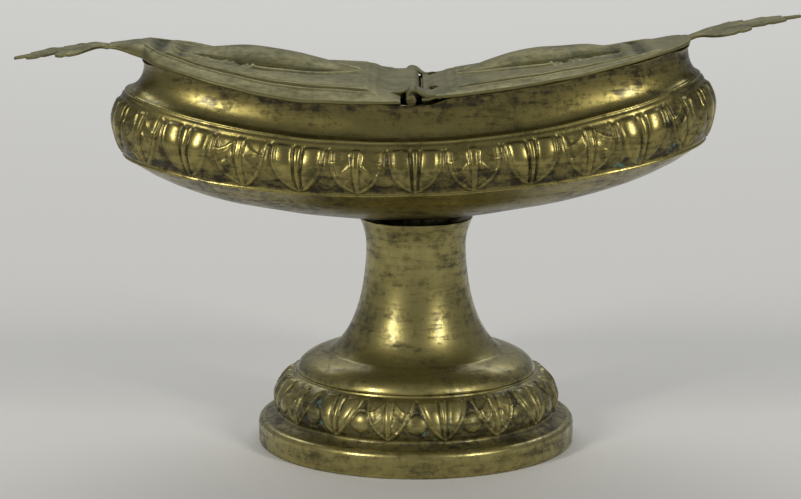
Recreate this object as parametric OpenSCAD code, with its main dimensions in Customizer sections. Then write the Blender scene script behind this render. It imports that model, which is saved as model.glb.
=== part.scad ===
// Incense boat: a brass bowl with two embossed lids, bolted onto a trumpet foot.
// The foot stands on z = 0 with its axis on z. The long side of the bowl runs along x.

/* [Bowl] */
// Length of the bowl over its bulge
bowl_length = 146.4; // [116:0.2:180]
// Width of the bowl over its bulge
bowl_width = 71; // [56:0.5:90]
// Thickness of the bowl's wall
bowl_wall = 1.6; // [1:0.1:2.2]
// Fullness of the bowl's outline seen from above, where 2 is an ellipse
plan_fullness = 2.35; // [2:0.05:3]
// Height of the rim above the foot's collar, at the middle of a side
rim_height = 31.2; // [27:0.1:40]
// Height of the sharp shoulder under the neck
shoulder_height = 22.9; // [20.5:0.1:25]
// Height of the widest line of the bulge
bulge_height = 17; // [14:0.1:19]
// Height of the bead line under the bulge
bead_height = 10.5; // [8:0.1:13]
// How much higher the rim stands at the ends than at the sides
rim_sheer = 9.6; // [5:0.2:12]
// How much higher the shoulder stands at the ends than at the sides
shoulder_sheer = 10.8; // [6:0.2:12]
// How much higher the bead line stands at the ends than at the sides
bead_sheer = 7.4; // [4:0.2:10]
// How far the rim is set in from the bulge
rim_inset = 6.9; // [5:0.1:8]
// How far the rim sits from the middle of the bulge, towards the fixed lid
rim_offset = 1; // [0:0.1:2]
// How far the shoulder is set in from the bulge
shoulder_inset = 3.4; // [2:0.1:4.5]
// How far the bead line is set in from the bulge
bead_inset = 2.4; // [1:0.1:4]
// Depth of the bowl's keel below the top of the collar
keel_depth = 1.6; // [0.5:0.1:2]
// Angle at which the bowl leans over on its boss
bowl_lean = 1.6; // [0:0.1:2.5]

/* [Lids] */
// Thickness of the lid sheet
lid_sheet = 1.2; // [0.8:0.1:1.6]
// How far the lids reach out over the outside of the rim
lid_overhang = 1.4; // [0.5:0.1:3]
// Clearance between the rim and the underside of the lids
lid_clearance = 0.3; // [0.3:0.05:0.6]
// Half width of the narrow waist before each leaf end
waist_half_width = 2.6; // [2:0.1:5]
// How far the waist of the fixed lid lies outside the rim
fixed_waist_reach = 1.8; // [1:0.1:8]
// How far the waist of the opening lid lies outside the rim
opening_waist_reach = 9.6; // [1:0.1:14]
// Distance over which a lid tapers from the rim's end to its waist
lid_taper = 16; // [10:0.5:22]
// Length of the leaf that ends the fixed lid
fixed_leaf_length = 25.3; // [16:0.1:32]
// Length of the leaf that ends the opening lid
opening_leaf_length = 21.6; // [16:0.1:32]
// Width of the leaf over its side lobes
leaf_width = 22; // [14:0.5:30]
// Slope of the leaf on the fixed lid
fixed_leaf_slope = 11; // [0:0.5:16]
// Slope of the leaf on the opening lid
opening_leaf_slope = -7.5; // [-16:0.5:0]
// Height of the embossed cushion on the fixed lid
fixed_boss_height = 6; // [3:0.1:9]
// Distance from the hinge axis to the top of the fixed lid's cushion
fixed_boss_reach = 32; // [28:0.5:44]
// Height of the embossed cushion on the opening lid
opening_boss_height = 7.4; // [3:0.1:9]
// Distance from the hinge axis to the top of the opening lid's cushion
opening_boss_reach = 41; // [34:0.5:46]
// Half length of the cushions
boss_half_length = 27; // [15:0.5:30]
// Height of the ridge that runs out to the waist of the fixed lid
fixed_ridge = 1.4; // [0:0.1:3]
// Height of the ridge that runs out to the waist of the opening lid
opening_ridge = 2.6; // [0:0.1:3]
// Width of the flat border around the cushions
lid_border = 7; // [4:0.2:9]

/* [Hinge] */
// Diameter of the hinge pin
pin_diameter = 1.8; // [1.2:0.1:2]
// Running clearance between the pin and the turning knuckle
pin_clearance = 0.05; // [0.03:0.01:0.1]
// Height of the pin's axis above the rim
pin_rise = 1.2; // [1.2:0.05:1.8]
// Outer diameter of the rolled knuckles
knuckle_diameter = 3.4; // [3:0.1:4.4]
// Length of the middle knuckle, rolled from the opening lid
middle_knuckle = 43; // [30:0.5:50]
// Gap between the ends of neighbouring knuckles
knuckle_gap = 0.35; // [0.2:0.05:0.8]
// How far the pin's beaten ends stand out of the knuckles
pin_stickout = 0.7; // [0.2:0.1:2]
// Width of the bar that carries the fixed lid's hinge edge
bar_width = 6; // [4:0.5:8]
// Thickness of the bar
bar_thickness = 1.5; // [1:0.1:2.5]
// Distance of each lid rivet from the middle of the hinge
rivet_offset = 18; // [10:0.5:22]
// Diameter of the rivet shanks
rivet_diameter = 1.6; // [1:0.1:2]

/* [Foot] */
// Diameter of the plinth under the foot
plinth_diameter = 78.2; // [64:0.2:94]
// Height of the plinth
plinth_height = 6.2; // [5:0.1:7]
// Diameter of the leafy band on the plinth
band_diameter = 71; // [58:0.2:72]
// Height of the top of the band, where the stem stands
band_height = 17.8; // [15:0.1:22]
// Wall thickness of the base
base_wall = 1.8; // [1.2:0.1:2.4]
// Diameter of the stem's lower edge
stem_foot_diameter = 59; // [50:0.2:60]
// Diameter of the stem at its narrowest
stem_waist_diameter = 24.5; // [22:0.1:28]
// Wall thickness of the stem
stem_wall = 2.2; // [1.5:0.1:3]
// Height of the collar's lip above the ground
collar_height = 56; // [50:0.5:70]
// Outer diameter of the collar's lip
collar_diameter = 27.8; // [26:0.1:31]
// Depth of the seat inside the collar
seat_depth = 4; // [3:0.1:6]
// Diameter of the boss under the bowl
boss_diameter = 17; // [15:0.5:18]
// Clearance around the boss and around the stem's spigot
seat_clearance = 0.2; // [0.1:0.05:0.4]
// Diameter of the bolt that clamps the foot to the bowl
bolt_diameter = 6; // [4:0.5:6.5]
// Clearance of the bolt in its holes, on the radius
bolt_clearance = 0.25; // [0.1:0.05:0.5]

/* [Hidden] */

brass = [0.52, 0.46, 0.28];
dull_brass = [0.50, 0.50, 0.38];
steel = [0.45, 0.45, 0.43];

around = 56;
half_length = bowl_length / 2;
half_width = bowl_width / 2;
rim_half_length = half_length - rim_inset;
rim_half_width = half_width - rim_inset;
neck_lip = 0.4;
neck_inset = rim_inset + neck_lip;
neck_top = rim_height - 0.8;
bar_play = 0.4;
ear_cut = 0.25;
rivet_head = 0.5;
head_play = 0.1;
boss_pad = 2.2;
boss_radius = boss_diameter / 2;
seat_z = collar_height - seat_depth;
pad_z = collar_height + boss_pad;

knuckle_radius = knuckle_diameter / 2;
pin_radius = pin_diameter / 2;
hinge_height = rim_height + pin_rise;
hinge_edge = knuckle_radius + 0.4;
boss_start = hinge_edge + bar_width;
ear_end = rim_half_width + lid_overhang;
ear_start = middle_knuckle / 2 + knuckle_gap;
lid_rows = 30;
lid_columns = 16;
ridge_length = 11;

plinth_radius = plinth_diameter / 2;
plinth_round = 1.4;
band_radius = band_diameter / 2;
band_root = band_radius - 0.9;
band_top_radius = stem_foot_diameter / 2 + 0.4;
stem_foot_radius = stem_foot_diameter / 2;
stem_edge = 0.6;
spigot_radius = stem_foot_radius - 6;
spigot_depth = base_wall;
waist_radius = stem_waist_diameter / 2;
waist_z = collar_height - 8;
shoulder_z = band_height + 5;
collar_radius = collar_diameter / 2;
lip_thickness = 1.3;
lip_room = collar_radius * sin(bowl_lean) + 0.2;
stem_floor_z = collar_height - 18;

bolt_radius = bolt_diameter / 2;
bore_radius = bolt_radius + bolt_clearance;
head_radius = bolt_diameter * 0.95;
head_height = bolt_diameter * 0.5;
washer_radius = bolt_diameter * 1.15;
washer_thickness = 1.2;
nut_height = bolt_diameter * 0.8;
nut_radius = bolt_diameter * 0.96;
plate_radius = spigot_radius + 3;
plate_thickness = 2;
plate_top = band_height - base_wall;
plate_bottom = plate_top - plate_thickness;
bolt_end = plate_bottom - washer_thickness - nut_height - 1.8;

// A point on a cubic Bezier curve through four control points.
function bezier(a, b, c, d, t) =
    a * pow(1 - t, 3) + b * 3 * t * pow(1 - t, 2) + c * 3 * t * t * (1 - t) + d * t * t * t;
function curve(a, b, c, d, steps = 12) = [for (i = [0:steps]) bezier(a, b, c, d, i / steps)];

// The boat's outline seen from above, as a unit superellipse.
function outline_x(angle) = sign(cos(angle)) * pow(abs(cos(angle)), 2 / plan_fullness);
function outline_y(angle) = sign(sin(angle)) * pow(abs(sin(angle)), 2 / plan_fullness);

// One ring of the bowl, set in from the bulge, with its ends raised by the sheer.
function boat_ring(inset, height, sheer, offset = 0) = [for (i = [0:around - 1])
    let (x = outline_x(360 * i / around), y = outline_y(360 * i / around))
    [(half_length - inset) * x + offset, (half_width - inset) * y, height + sheer * x * x]];

// The keel hangs no lower than leaves room for the collar's lip under the leaning bowl.
bottom_slope = 0.6;
lip_share = bottom_slope * collar_radius / (half_length - bead_inset);
keel = min(keel_depth, (lip_share * (bead_height + bead_sheer) - lip_room) / (1 - lip_share));

// Rings of the round bottom, from the keel (t = 0) out to the bead line (t = 1).
function bottom_rise(t) = bottom_slope * t + (1 - bottom_slope) * pow(t, 5.5);
function bottom_ring(t, wall) = [for (i = [0:around - 1])
    let (x = outline_x(360 * i / around), y = outline_y(360 * i / around),
        top = bead_height + bead_sheer * x * x)
    [(half_length - bead_inset - wall) * x * t, (half_width - bead_inset - wall) * y * t,
        -keel + wall + (top + keel - wall) * bottom_rise(t)]];

// Rings of the side, from the bead line over the bulge and the shoulder to the rim.
function mix(a, b, t) = a + (b - a) * t;
function lower_bulge(t, wall) = boat_ring(bead_inset * pow(1 - t, 2) + wall,
    mix(bead_height, bulge_height, t), mix(bead_sheer, rim_sheer, t));
function upper_bulge(t, wall) = boat_ring(shoulder_inset * t * t + wall,
    mix(bulge_height, shoulder_height, t), mix(rim_sheer, shoulder_sheer, t));
function neck(t, wall) = boat_ring(mix(shoulder_inset, neck_inset, sin(90 * t)) + wall,
    mix(shoulder_height + 0.3, neck_top, 1 - cos(90 * t)),
    mix(shoulder_sheer, rim_sheer, 1 - cos(90 * t)), rim_offset * sin(90 * t));
function bowl_side(wall) = concat(
    [for (t = [0:0.25:0.75]) lower_bulge(t, wall)],
    [for (t = [0:0.25:1]) upper_bulge(t, wall)],
    [for (t = [0.2:0.2:1]) neck(t, wall)],
    [boat_ring(rim_inset + wall, rim_height, rim_sheer * pow(1 - wall / rim_half_length, 2), rim_offset)]);
function bowl_bottom(wall) = [for (t = [0.15, 0.3, 0.45, 0.6, 0.75, 0.88]) bottom_ring(t, wall)];
function bowl_surface(wall) = concat(bowl_bottom(wall), bowl_side(wall));
function backwards(list) = [for (i = [len(list) - 1:-1:0]) list[i]];
function joined(lists) = [for (list = lists) for (item = list) item];

// A closed solid through a stack of rings, with a pole at each end.
module ringed_solid(rings, first_pole, last_pole) {
    count = len(rings[0]);
    last = len(rings) - 1;
    points = concat(joined(rings), [first_pole, last_pole]);
    pole = len(points) - 2;
    walls = [for (k = [0:last - 1]) for (i = [0:count - 1])
        let (a = k * count + i, b = k * count + (i + 1) % count)
        for (face = [[a, a + count, b + count], [a, b + count, b]]) face];
    first_cap = [for (i = [0:count - 1]) [pole, i, (i + 1) % count]];
    last_cap = [for (i = [0:count - 1]) [last * count + i, pole + 1, last * count + (i + 1) % count]];
    polyhedron(points, concat(walls, first_cap, last_cap));
}

// A closed solid between a top grid and a bottom grid of points.
module grid_solid(top, bottom) {
    rows = len(top);
    columns = len(top[0]);
    under = rows * columns;
    faces_top = [for (i = [0:rows - 2]) for (j = [0:columns - 2])
        let (a = i * columns + j, b = a + 1, c = a + columns + 1, d = a + columns)
        for (face = [[a, b, c], [a, c, d]]) face];
    faces_bottom = [for (face = faces_top) [under + face[2], under + face[1], under + face[0]]];
    border = concat([for (j = [0:columns - 2]) j],
        [for (i = [0:rows - 2]) i * columns + columns - 1],
        [for (j = [columns - 1:-1:1]) (rows - 1) * columns + j],
        [for (i = [rows - 1:-1:1]) i * columns]);
    count = len(border);
    edges = [for (k = [0:count - 1]) let (a = border[k], b = border[(k + 1) % count])
        for (face = [[b, a, under + a], [b, under + a, under + b]]) face];
    polyhedron(concat(joined(top), joined(bottom)), concat(faces_top, faces_bottom, edges));
}

// Everything above the collar leans with the bowl.
module in_bowl_frame() {
    translate([0, 0, collar_height]) rotate([0, -bowl_lean, 0]) children();
}

module bowl() color(brass) difference() {
    union() {
        in_bowl_frame() ringed_solid(
            concat(bowl_surface(0), backwards(bowl_surface(bowl_wall))),
            [0, 0, -keel], [0, 0, bowl_wall - keel]);
        translate([0, 0, seat_z]) cylinder(r = boss_radius, h = pad_z - seat_z, $fn = 64);
    }
    translate([0, 0, seat_z - 1]) cylinder(r = bore_radius, h = pad_z - seat_z + 2, $fn = 48);
}

// Height of the rim, and half width of a lid, at a distance from the middle of the rim.
function rim_line(x) = rim_height + rim_sheer * pow(x / rim_half_length, 2);
function rim_half(x) = abs(x) < rim_half_length
    ? rim_half_width * pow(1 - pow(abs(x) / rim_half_length, plan_fullness), 1 / plan_fullness) : 0;
function taper(x, waist) = lid_taper * 0.7 * pow(max(0, (waist - x) / lid_taper), 1.6);
function lid_half(x, waist) = max(rim_half(x) + lid_overhang,
    waist_half_width + (waist - x < lid_taper ? taper(x, waist) : 0));

// How far a lid's cushion, and the ridge behind its waist, stand above the flat border.
function dome(x) = max(0, 1 - x * x);
function near_half(reach) = min(boss_half_length, reach - boss_start);
function cushion(x, y, half, reach, height) = height
    * dome((x - reach) / (x < reach ? near_half(reach) : boss_half_length))
    * dome(y / max(1, half - lid_border));
function ridge(x, y, half, waist, height) = height * dome((x - waist + ridge_length) / ridge_length)
    * dome(y / half);

// Rows of a lid's surface, where x runs from the middle of the rim and the hinge stands at -shift.
function lid_grid(waist, shift, reach, boss, rise, drop) = [for (i = [0:lid_rows])
    let (x = mix(hinge_edge - shift, waist, i / lid_rows), half = lid_half(x, waist))
    [for (j = [0:lid_columns]) let (y = half * mix(-1, 1, j / lid_columns))
        [x + shift, y, rim_line(x) + lid_clearance + lid_sheet - drop
            + cushion(x + shift, y, half, reach, boss) + ridge(x, y, half, waist, rise)]]];

// Half of the leaf's outline, as shares of its length and of its half width.
leaf_outline = [[-0.08, 0.22], [0.04, 0.32], [0.16, 0.8], [0.32, 1], [0.46, 0.92], [0.42, 0.5],
    [0.56, 0.58], [0.78, 0.5], [0.84, 0.38], [0.8, 0.2], [1, 0.06]];
module leaf_end(length) {
    side = [for (p = leaf_outline) [p[0] * length, p[1] * leaf_width / 2]];
    linear_extrude(lid_sheet) polygon(concat(side, backwards([for (p = side) [p[0], -p[1]]])));
}

module lid_plate(past_rim, shift, reach, boss, rise, leaf, slope) {
    waist = rim_half_length + past_rim;
    grid_solid(lid_grid(waist, shift, reach, boss, rise, 0),
        lid_grid(waist, shift, reach, boss, rise, lid_sheet));
    translate([waist + shift, 0, rim_line(waist) + lid_clearance]) rotate([0, -slope, 0]) leaf_end(leaf);
}

module knuckle(start, length, bore) {
    translate([0, start, hinge_height]) rotate([-90, 0, 0]) difference() {
        cylinder(r = knuckle_radius, h = length, $fn = 40);
        translate([0, 0, -1]) cylinder(r = bore, h = length + 2, $fn = 40);
    }
}

// An ear is a knuckle without the part that would stand below the lid, over the bowl's rim.
module ear(start, length) difference() {
    knuckle(start, length, pin_radius);
    translate([-knuckle_radius - 1, start - 1, 0])
        cube([knuckle_diameter + 2, length + 2, rim_height + lid_clearance + ear_cut]);
}

// The strip of sheet that runs from the lid's hinge edge into a knuckle.
module knuckle_strip(start, length) {
    translate([pin_radius + 0.3, start, rim_height + lid_clearance])
        cube([hinge_edge - pin_radius, length, lid_sheet]);
}

module fixed_lid() color(dull_brass) in_bowl_frame() difference() {
    union() {
        difference() {
            lid_plate(fixed_waist_reach, rim_offset, fixed_boss_reach, fixed_boss_height, fixed_ridge,
                fixed_leaf_length, fixed_leaf_slope);
            translate([-1, -ear_start, 0]) cube([hinge_edge + 1.2, 2 * ear_start, 2 * rim_height]);
        }
        for (start = [-ear_end, ear_start]) {
            ear(start, ear_end - ear_start);
            knuckle_strip(start, ear_end - ear_start);
        }
    }
    for (side = [-1, 1]) translate([hinge_edge + bar_width / 2, side * rivet_offset, rim_height])
        cylinder(r = rivet_diameter / 2, h = 3, $fn = 24);
}

module opening_lid() color(dull_brass) in_bowl_frame() {
    mirror([1, 0, 0]) {
        difference() {
            lid_plate(opening_waist_reach, -rim_offset, opening_boss_reach, opening_boss_height,
                opening_ridge, opening_leaf_length, opening_leaf_slope);
            for (side = [-1, 1]) translate([-1, side < 0 ? -ear_end - 1 : middle_knuckle / 2, 0])
                cube([hinge_edge + 1.2, ear_end + 1 - middle_knuckle / 2, 2 * rim_height]);
        }
        knuckle(-middle_knuckle / 2, middle_knuckle, pin_radius + pin_clearance);
        knuckle_strip(-middle_knuckle / 2, middle_knuckle);
    }
}

module hinge_pin() color(dull_brass) in_bowl_frame() {
    translate([0, -ear_end - pin_stickout, hinge_height]) rotate([-90, 0, 0])
        cylinder(r = pin_radius, h = 2 * (ear_end + pin_stickout), $fn = 40);
}

bar_half = rim_half_width - bowl_wall - neck_lip - bar_play;
bar_top = rim_height + lid_clearance;
module cross_bar() color(brass) in_bowl_frame() difference() {
    translate([hinge_edge, -bar_half, bar_top - bar_thickness]) cube([bar_width, 2 * bar_half, bar_thickness]);
    for (side = [-1, 1]) translate([hinge_edge + bar_width / 2, side * rivet_offset, 0])
        cylinder(r = rivet_diameter / 2, h = 2 * rim_height, $fn = 24);
}

module lid_rivets() color(dull_brass) in_bowl_frame() {
    foot = bar_top - bar_thickness - rivet_head;
    head = bar_top + lid_sheet + head_play;
    for (side = [-1, 1]) translate([hinge_edge + bar_width / 2, side * rivet_offset, 0]) {
        translate([0, 0, foot]) cylinder(r = rivet_diameter / 2, h = head - foot + rivet_head / 2, $fn = 24);
        for (z = [foot, head]) translate([0, 0, z])
            cylinder(r = rivet_diameter * 0.75, h = rivet_head, $fn = 24);
    }
}

// The stem: a spun trumpet that flares out to its foot edge and to an open collar.
module stem() color(brass) difference() {
    rotate_extrude($fn = 96) polygon(concat(
        [[0, band_height - spigot_depth], [spigot_radius, band_height - spigot_depth],
            [spigot_radius, band_height], [stem_foot_radius, band_height]],
        curve([stem_foot_radius, band_height + stem_edge], [stem_foot_radius - 1, shoulder_z - 2],
            [stem_foot_radius - 4.6, shoulder_z - 0.6], [waist_radius + 9.2, shoulder_z]),
        curve([waist_radius + 8.9, shoulder_z + 0.1], [waist_radius + 3.7, shoulder_z + 3.6],
            [waist_radius + 0.3, shoulder_z + 13], [waist_radius, waist_z]),
        curve([waist_radius, waist_z + 0.5], [waist_radius, waist_z + 3.5],
            [collar_radius - 1, waist_z + 5.5], [collar_radius, collar_height]),
        curve([collar_radius - lip_thickness, collar_height],
            [collar_radius - 2, collar_height - 1.5], [boss_radius + 2, seat_z + 0.6],
            [boss_radius + seat_clearance, seat_z]),
        [[0, seat_z]]));
    translate([0, 0, seat_z - 20]) cylinder(r = bore_radius, h = 40, $fn = 48);
    rotate_extrude($fn = 96) polygon(concat(
        [[0, band_height - spigot_depth - 1], [spigot_radius - stem_wall, band_height - spigot_depth - 1],
            [spigot_radius - stem_wall, band_height]],
        curve([spigot_radius - stem_wall, band_height + 0.5], [spigot_radius - 6, shoulder_z - 1],
            [waist_radius - stem_wall + 1, shoulder_z + 7], [waist_radius - stem_wall, stem_floor_z]),
        [[0, stem_floor_z]]));
}

// The base: a plinth with a round band on it and an open underside.
base_outer = concat(
    [[plinth_radius, 0]],
    [for (a = [0:15:90]) [plinth_radius - plinth_round * (1 - cos(a)),
        plinth_height - plinth_round * (1 - sin(a))]],
    [[band_radius + 1.2, plinth_height + 0.1], [band_root, plinth_height + 1.2]],
    curve([band_root, plinth_height + 1.8], [band_radius + 0.7, plinth_height + 4.5],
        [band_radius + 0.3, band_height - 3.5], [band_top_radius + 1, band_height - 0.6]),
    [[band_top_radius, band_height - 0.5], [band_top_radius, band_height]]);
base_inner = concat(
    [[spigot_radius + seat_clearance, band_height], [spigot_radius + seat_clearance, plate_top]],
    [[band_top_radius - 2, plate_top]],
    curve([band_top_radius - 1.2, plate_top - 0.3], [band_radius - base_wall, plate_top - 1.5],
        [band_radius - base_wall, plinth_height + 4], [band_root - base_wall, plinth_height - 0.4]),
    [[plinth_radius - base_wall - 1, plinth_height - base_wall],
        [plinth_radius - base_wall, plinth_height - base_wall - 1], [plinth_radius - base_wall, 0]]);
module foot_base() color(brass) rotate_extrude($fn = 96) polygon(concat(base_outer, base_inner));

module washer(z, radius, thickness) {
    translate([0, 0, z]) difference() {
        cylinder(r = radius, h = thickness, $fn = 48);
        translate([0, 0, -1]) cylinder(r = bore_radius, h = thickness + 2, $fn = 48);
    }
}

module head_washer() color(brass) washer(pad_z, washer_radius, washer_thickness);
module clamp_plate() color(steel) washer(plate_bottom, plate_radius, plate_thickness);
module nut_washer() color(steel) washer(plate_bottom - washer_thickness, washer_radius, washer_thickness);

module clamp_bolt() color(brass) {
    top = pad_z + washer_thickness;
    translate([0, 0, bolt_end]) cylinder(r = bolt_radius, h = top - bolt_end + 0.5, $fn = 48);
    translate([0, 0, top]) intersection() {
        cylinder(r = head_radius, h = head_height, $fn = 48);
        translate([0, 0, head_height - head_radius * 1.35]) sphere(r = head_radius * 1.35, $fn = 48);
    }
}

module clamp_nut() color(steel) {
    translate([0, 0, plate_bottom - washer_thickness - nut_height]) difference() {
        cylinder(r = nut_radius, h = nut_height, $fn = 6);
        translate([0, 0, -1]) cylinder(r = bolt_radius + 0.02, h = nut_height + 2, $fn = 48);
    }
}

bowl();
fixed_lid();
opening_lid();
hinge_pin();
cross_bar();
lid_rivets();
stem();
foot_base();
clamp_bolt();
head_washer();
clamp_plate();
nut_washer();
clamp_nut();
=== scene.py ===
import math

import bpy
import numpy as np
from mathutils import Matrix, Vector


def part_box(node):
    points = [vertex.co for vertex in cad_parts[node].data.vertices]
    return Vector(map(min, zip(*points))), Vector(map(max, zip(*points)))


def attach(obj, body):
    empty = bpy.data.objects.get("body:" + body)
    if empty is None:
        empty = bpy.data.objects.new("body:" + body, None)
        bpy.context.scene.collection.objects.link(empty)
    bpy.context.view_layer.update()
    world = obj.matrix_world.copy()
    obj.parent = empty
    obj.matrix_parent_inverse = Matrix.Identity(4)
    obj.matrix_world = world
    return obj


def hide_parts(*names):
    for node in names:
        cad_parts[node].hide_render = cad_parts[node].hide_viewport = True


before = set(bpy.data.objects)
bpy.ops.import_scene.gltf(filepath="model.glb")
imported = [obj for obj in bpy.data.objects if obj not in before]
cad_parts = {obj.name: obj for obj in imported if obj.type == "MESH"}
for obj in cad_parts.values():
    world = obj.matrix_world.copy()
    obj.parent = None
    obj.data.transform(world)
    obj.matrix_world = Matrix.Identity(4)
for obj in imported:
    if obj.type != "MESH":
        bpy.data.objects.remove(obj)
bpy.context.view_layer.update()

MM = 0.001
VESSEL = "vessel"
LID = "lid"

# The bowl's sizes, as in the CAD part, in metres.
HALF_LENGTH = 73.2 * MM
HALF_WIDTH = 35.5 * MM
WALL = 1.6 * MM
FULLNESS = 2.35
RIM_HEIGHT = 31.2 * MM
SHOULDER_HEIGHT = 22.9 * MM
BULGE_HEIGHT = 17.0 * MM
BEAD_HEIGHT = 10.5 * MM
RIM_SHEER = 9.6 * MM
SHOULDER_SHEER = 10.8 * MM
BEAD_SHEER = 7.4 * MM
RIM_INSET = 6.9 * MM
RIM_OFFSET = 1.0 * MM
MOST_RIM_RISE = 1.8 * MM
SHOULDER_INSET = 3.4 * MM
BEAD_INSET = 2.4 * MM
KEEL_DEPTH = 1.6 * MM
NECK_LIP = 0.4 * MM
COLLAR_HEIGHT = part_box("stem")[1].z
LEAN = math.radians(1.6)
BOWL_LEAVES = 26
POINTS_PER_LEAF = 52
BAND_ROWS = 40
RELIEF_DEPTH = 1.0 * MM
# Painted shade under the bowl: how dark its underside is made, darkest at the keel.
BOTTOM_SHADE = 0.95

# The lids and the hinge.
SHEET = 0.8 * MM
LID_CLEARANCE = 0.3 * MM
OVERHANG = 1.4 * MM
LID_ROWS = 200
LID_COLUMNS = 151
WAIST_HALF = 2.6 * MM
TAPER = 16.0 * MM
LEAF_HALF = 10.5 * MM
KNUCKLE_RADIUS = 1.7 * MM
KNUCKLE_GAUGE = 0.72 * MM
HINGE_HEIGHT = RIM_HEIGHT + 1.2 * MM
HINGE_EDGE = KNUCKLE_RADIUS + 0.4 * MM
KNUCKLE_HALF = 21.5 * MM
EAR_START = KNUCKLE_HALF + 0.35 * MM
EAR_END = HALF_WIDTH - RIM_INSET + OVERHANG
PIN_RADIUS = 0.9
BAR_THICKNESS = 1.5 * MM
RIVET_OFFSET = 18 * MM
RIVET_RADIUS = 1.2 * MM
RIVET_RISE = 0.5 * MM

# The foot.
PLINTH_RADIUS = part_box("foot_base")[1].x
PLINTH_HEIGHT = 6.2 * MM
BAND_RADIUS = 35.5 * MM
BAND_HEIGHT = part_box("foot_base")[1].z
BAND_TOP_RADIUS = 29.9 * MM
FOOT_LEAVES = 16
POINTS_PER_FOOT_LEAF = 56
FOOT_RELIEF_DEPTH = 0.85 * MM
PLINTH_ROUNDING = 1.4 * MM


def smoothstep(low, high, value):
    t = np.clip((value - low) / (high - low), 0.0, 1.0)
    return t * t * (3 - 2 * t)


def mix(a, b, t):
    return a + (b - a) * t


def bump(distance, half_width):
    """A rounded ridge: 1 on its line, 0 from half_width away."""
    return np.clip(1 - (distance / half_width) ** 2, 0.0, 1.0) ** 2


def bezier(a, b, c, d, steps):
    t = np.linspace(0, 1, steps + 1)[:, None]
    a, b, c, d = (np.array(p, float) for p in (a, b, c, d))
    return a * (1 - t) ** 3 + 3 * b * t * (1 - t) ** 2 + 3 * c * t * t * (1 - t) + d * t ** 3


def through(points, steps):
    """A smooth curve through points, with steps points to each stretch (Catmull-Rom)."""
    p = np.array(points, float)
    p = np.vstack([2 * p[0] - p[1], p, 2 * p[-1] - p[-2]])
    t = np.linspace(0, 1, steps, endpoint=False)[:, None]
    runs = [0.5 * (2 * p[i] + (p[i + 1] - p[i - 1]) * t
                   + (2 * p[i - 1] - 5 * p[i] + 4 * p[i + 1] - p[i + 2]) * t ** 2
                   + (3 * p[i] - p[i - 1] - 3 * p[i + 1] + p[i + 2]) * t ** 3)
            for i in range(1, len(p) - 2)]
    return np.vstack(runs + [p[-2:-1]])


def unevenness(points, size, seed):
    """Slow hand-made waves, from -1 to 1, over points in metres."""
    random = np.random.default_rng(seed)
    total = np.zeros(len(points))
    for octave in range(5):
        direction = random.normal(size=3)
        direction *= (1 + 0.5 * octave) * 2 * math.pi / size / np.linalg.norm(direction)
        total += np.sin(points @ direction + random.uniform(0, 6)) / (1 + 0.5 * octave)
    return total / 2.6


def along_curve(points):
    """A function through (place, value) pairs in millimetres, which takes and gives metres."""
    curve = through(points, 8) * MM
    return lambda x: np.interp(x, curve[:, 0], curve[:, 1])


def lean_with_bowl(points):
    """From the bowl's own frame, which starts at the top of the collar, to the row's frame."""
    p = np.asarray(points, float)
    x = p[:, 0] * math.cos(LEAN) - p[:, 2] * math.sin(LEAN)
    z = p[:, 0] * math.sin(LEAN) + p[:, 2] * math.cos(LEAN) + COLLAR_HEIGHT
    return np.column_stack([x, p[:, 1], z])


def make_object(name, points, faces, values=None, material=None):
    mesh = bpy.data.meshes.new(name)
    mesh.from_pydata([tuple(p) for p in points], [], faces)
    mesh.polygons.foreach_set("use_smooth", [True] * len(mesh.polygons))
    for key, numbers in (values or {}).items():
        attribute = mesh.attributes.new(key, "FLOAT", "POINT")
        attribute.data.foreach_set("value", np.asarray(numbers, np.float32))
    if material:
        mesh.materials.append(material)
    mesh.update()
    piece = bpy.data.objects.new(name, mesh)
    bpy.context.scene.collection.objects.link(piece)
    return piece


def place(piece, body, node):
    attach(piece, body)
    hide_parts(node)
    return piece


def ring_faces(low, high):
    """Faces between two rings of indices, the lower one first. One may have twice the other's points."""
    faces = []
    if len(low) == len(high):
        n = len(low)
        return [(low[i], low[(i + 1) % n], high[(i + 1) % n], high[i]) for i in range(n)]
    n = min(len(low), len(high))
    for i in range(n):
        j = (i + 1) % n
        if len(low) < len(high):
            a, b, c = high[2 * i], high[2 * i + 1], high[2 * j]
            faces += [(low[i], b, a), (low[i], low[j], b), (low[j], c, b)]
        else:
            a, b, c = low[2 * i], low[2 * i + 1], low[2 * j]
            faces += [(a, b, high[i]), (b, high[j], high[i]), (b, c, high[j])]
    return faces


def ringed_mesh(rings, first_pole=None, last_pole=None, loop=False):
    """Points and faces of a surface through rings. It closes on poles, or back on its first ring."""
    starts = np.cumsum([0] + [len(r) for r in rings])
    ids = [list(range(starts[k], starts[k + 1])) for k in range(len(rings))]
    points = np.vstack(rings)
    faces = []
    for low, high in zip(ids, ids[1:]):
        faces += ring_faces(low, high)
    if loop:
        faces += ring_faces(ids[-1], ids[0])
    if first_pole is not None:
        points = np.vstack([points, [first_pole]])
        n = len(ids[0])
        faces += [(len(points) - 1, ids[0][(i + 1) % n], ids[0][i]) for i in range(n)]
    if last_pole is not None:
        points = np.vstack([points, [last_pole]])
        n = len(ids[-1])
        faces += [(len(points) - 1, ids[-1][i], ids[-1][(i + 1) % n]) for i in range(n)]
    return points, faces


def lathe(profile, around):
    """Points and faces of a turned shape. The profile is (radius, height), closed on itself."""
    angle = np.arange(around) * 2 * math.pi / around - math.pi / 2
    rings = [np.column_stack([r * np.cos(angle), r * np.sin(angle), np.full(around, z)])
             for r, z in profile]
    return ringed_mesh(rings, loop=True)


# ---------------------------------------------------------------- node helpers


def feed(tree, slot, value):
    """Links a field or a socket to a node's input, or sets the input to a plain value."""
    if isinstance(value, Field):
        value = value.socket
    if isinstance(value, bpy.types.NodeSocket):
        tree.links.new(value, slot)
    else:
        slot.default_value = value


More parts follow.
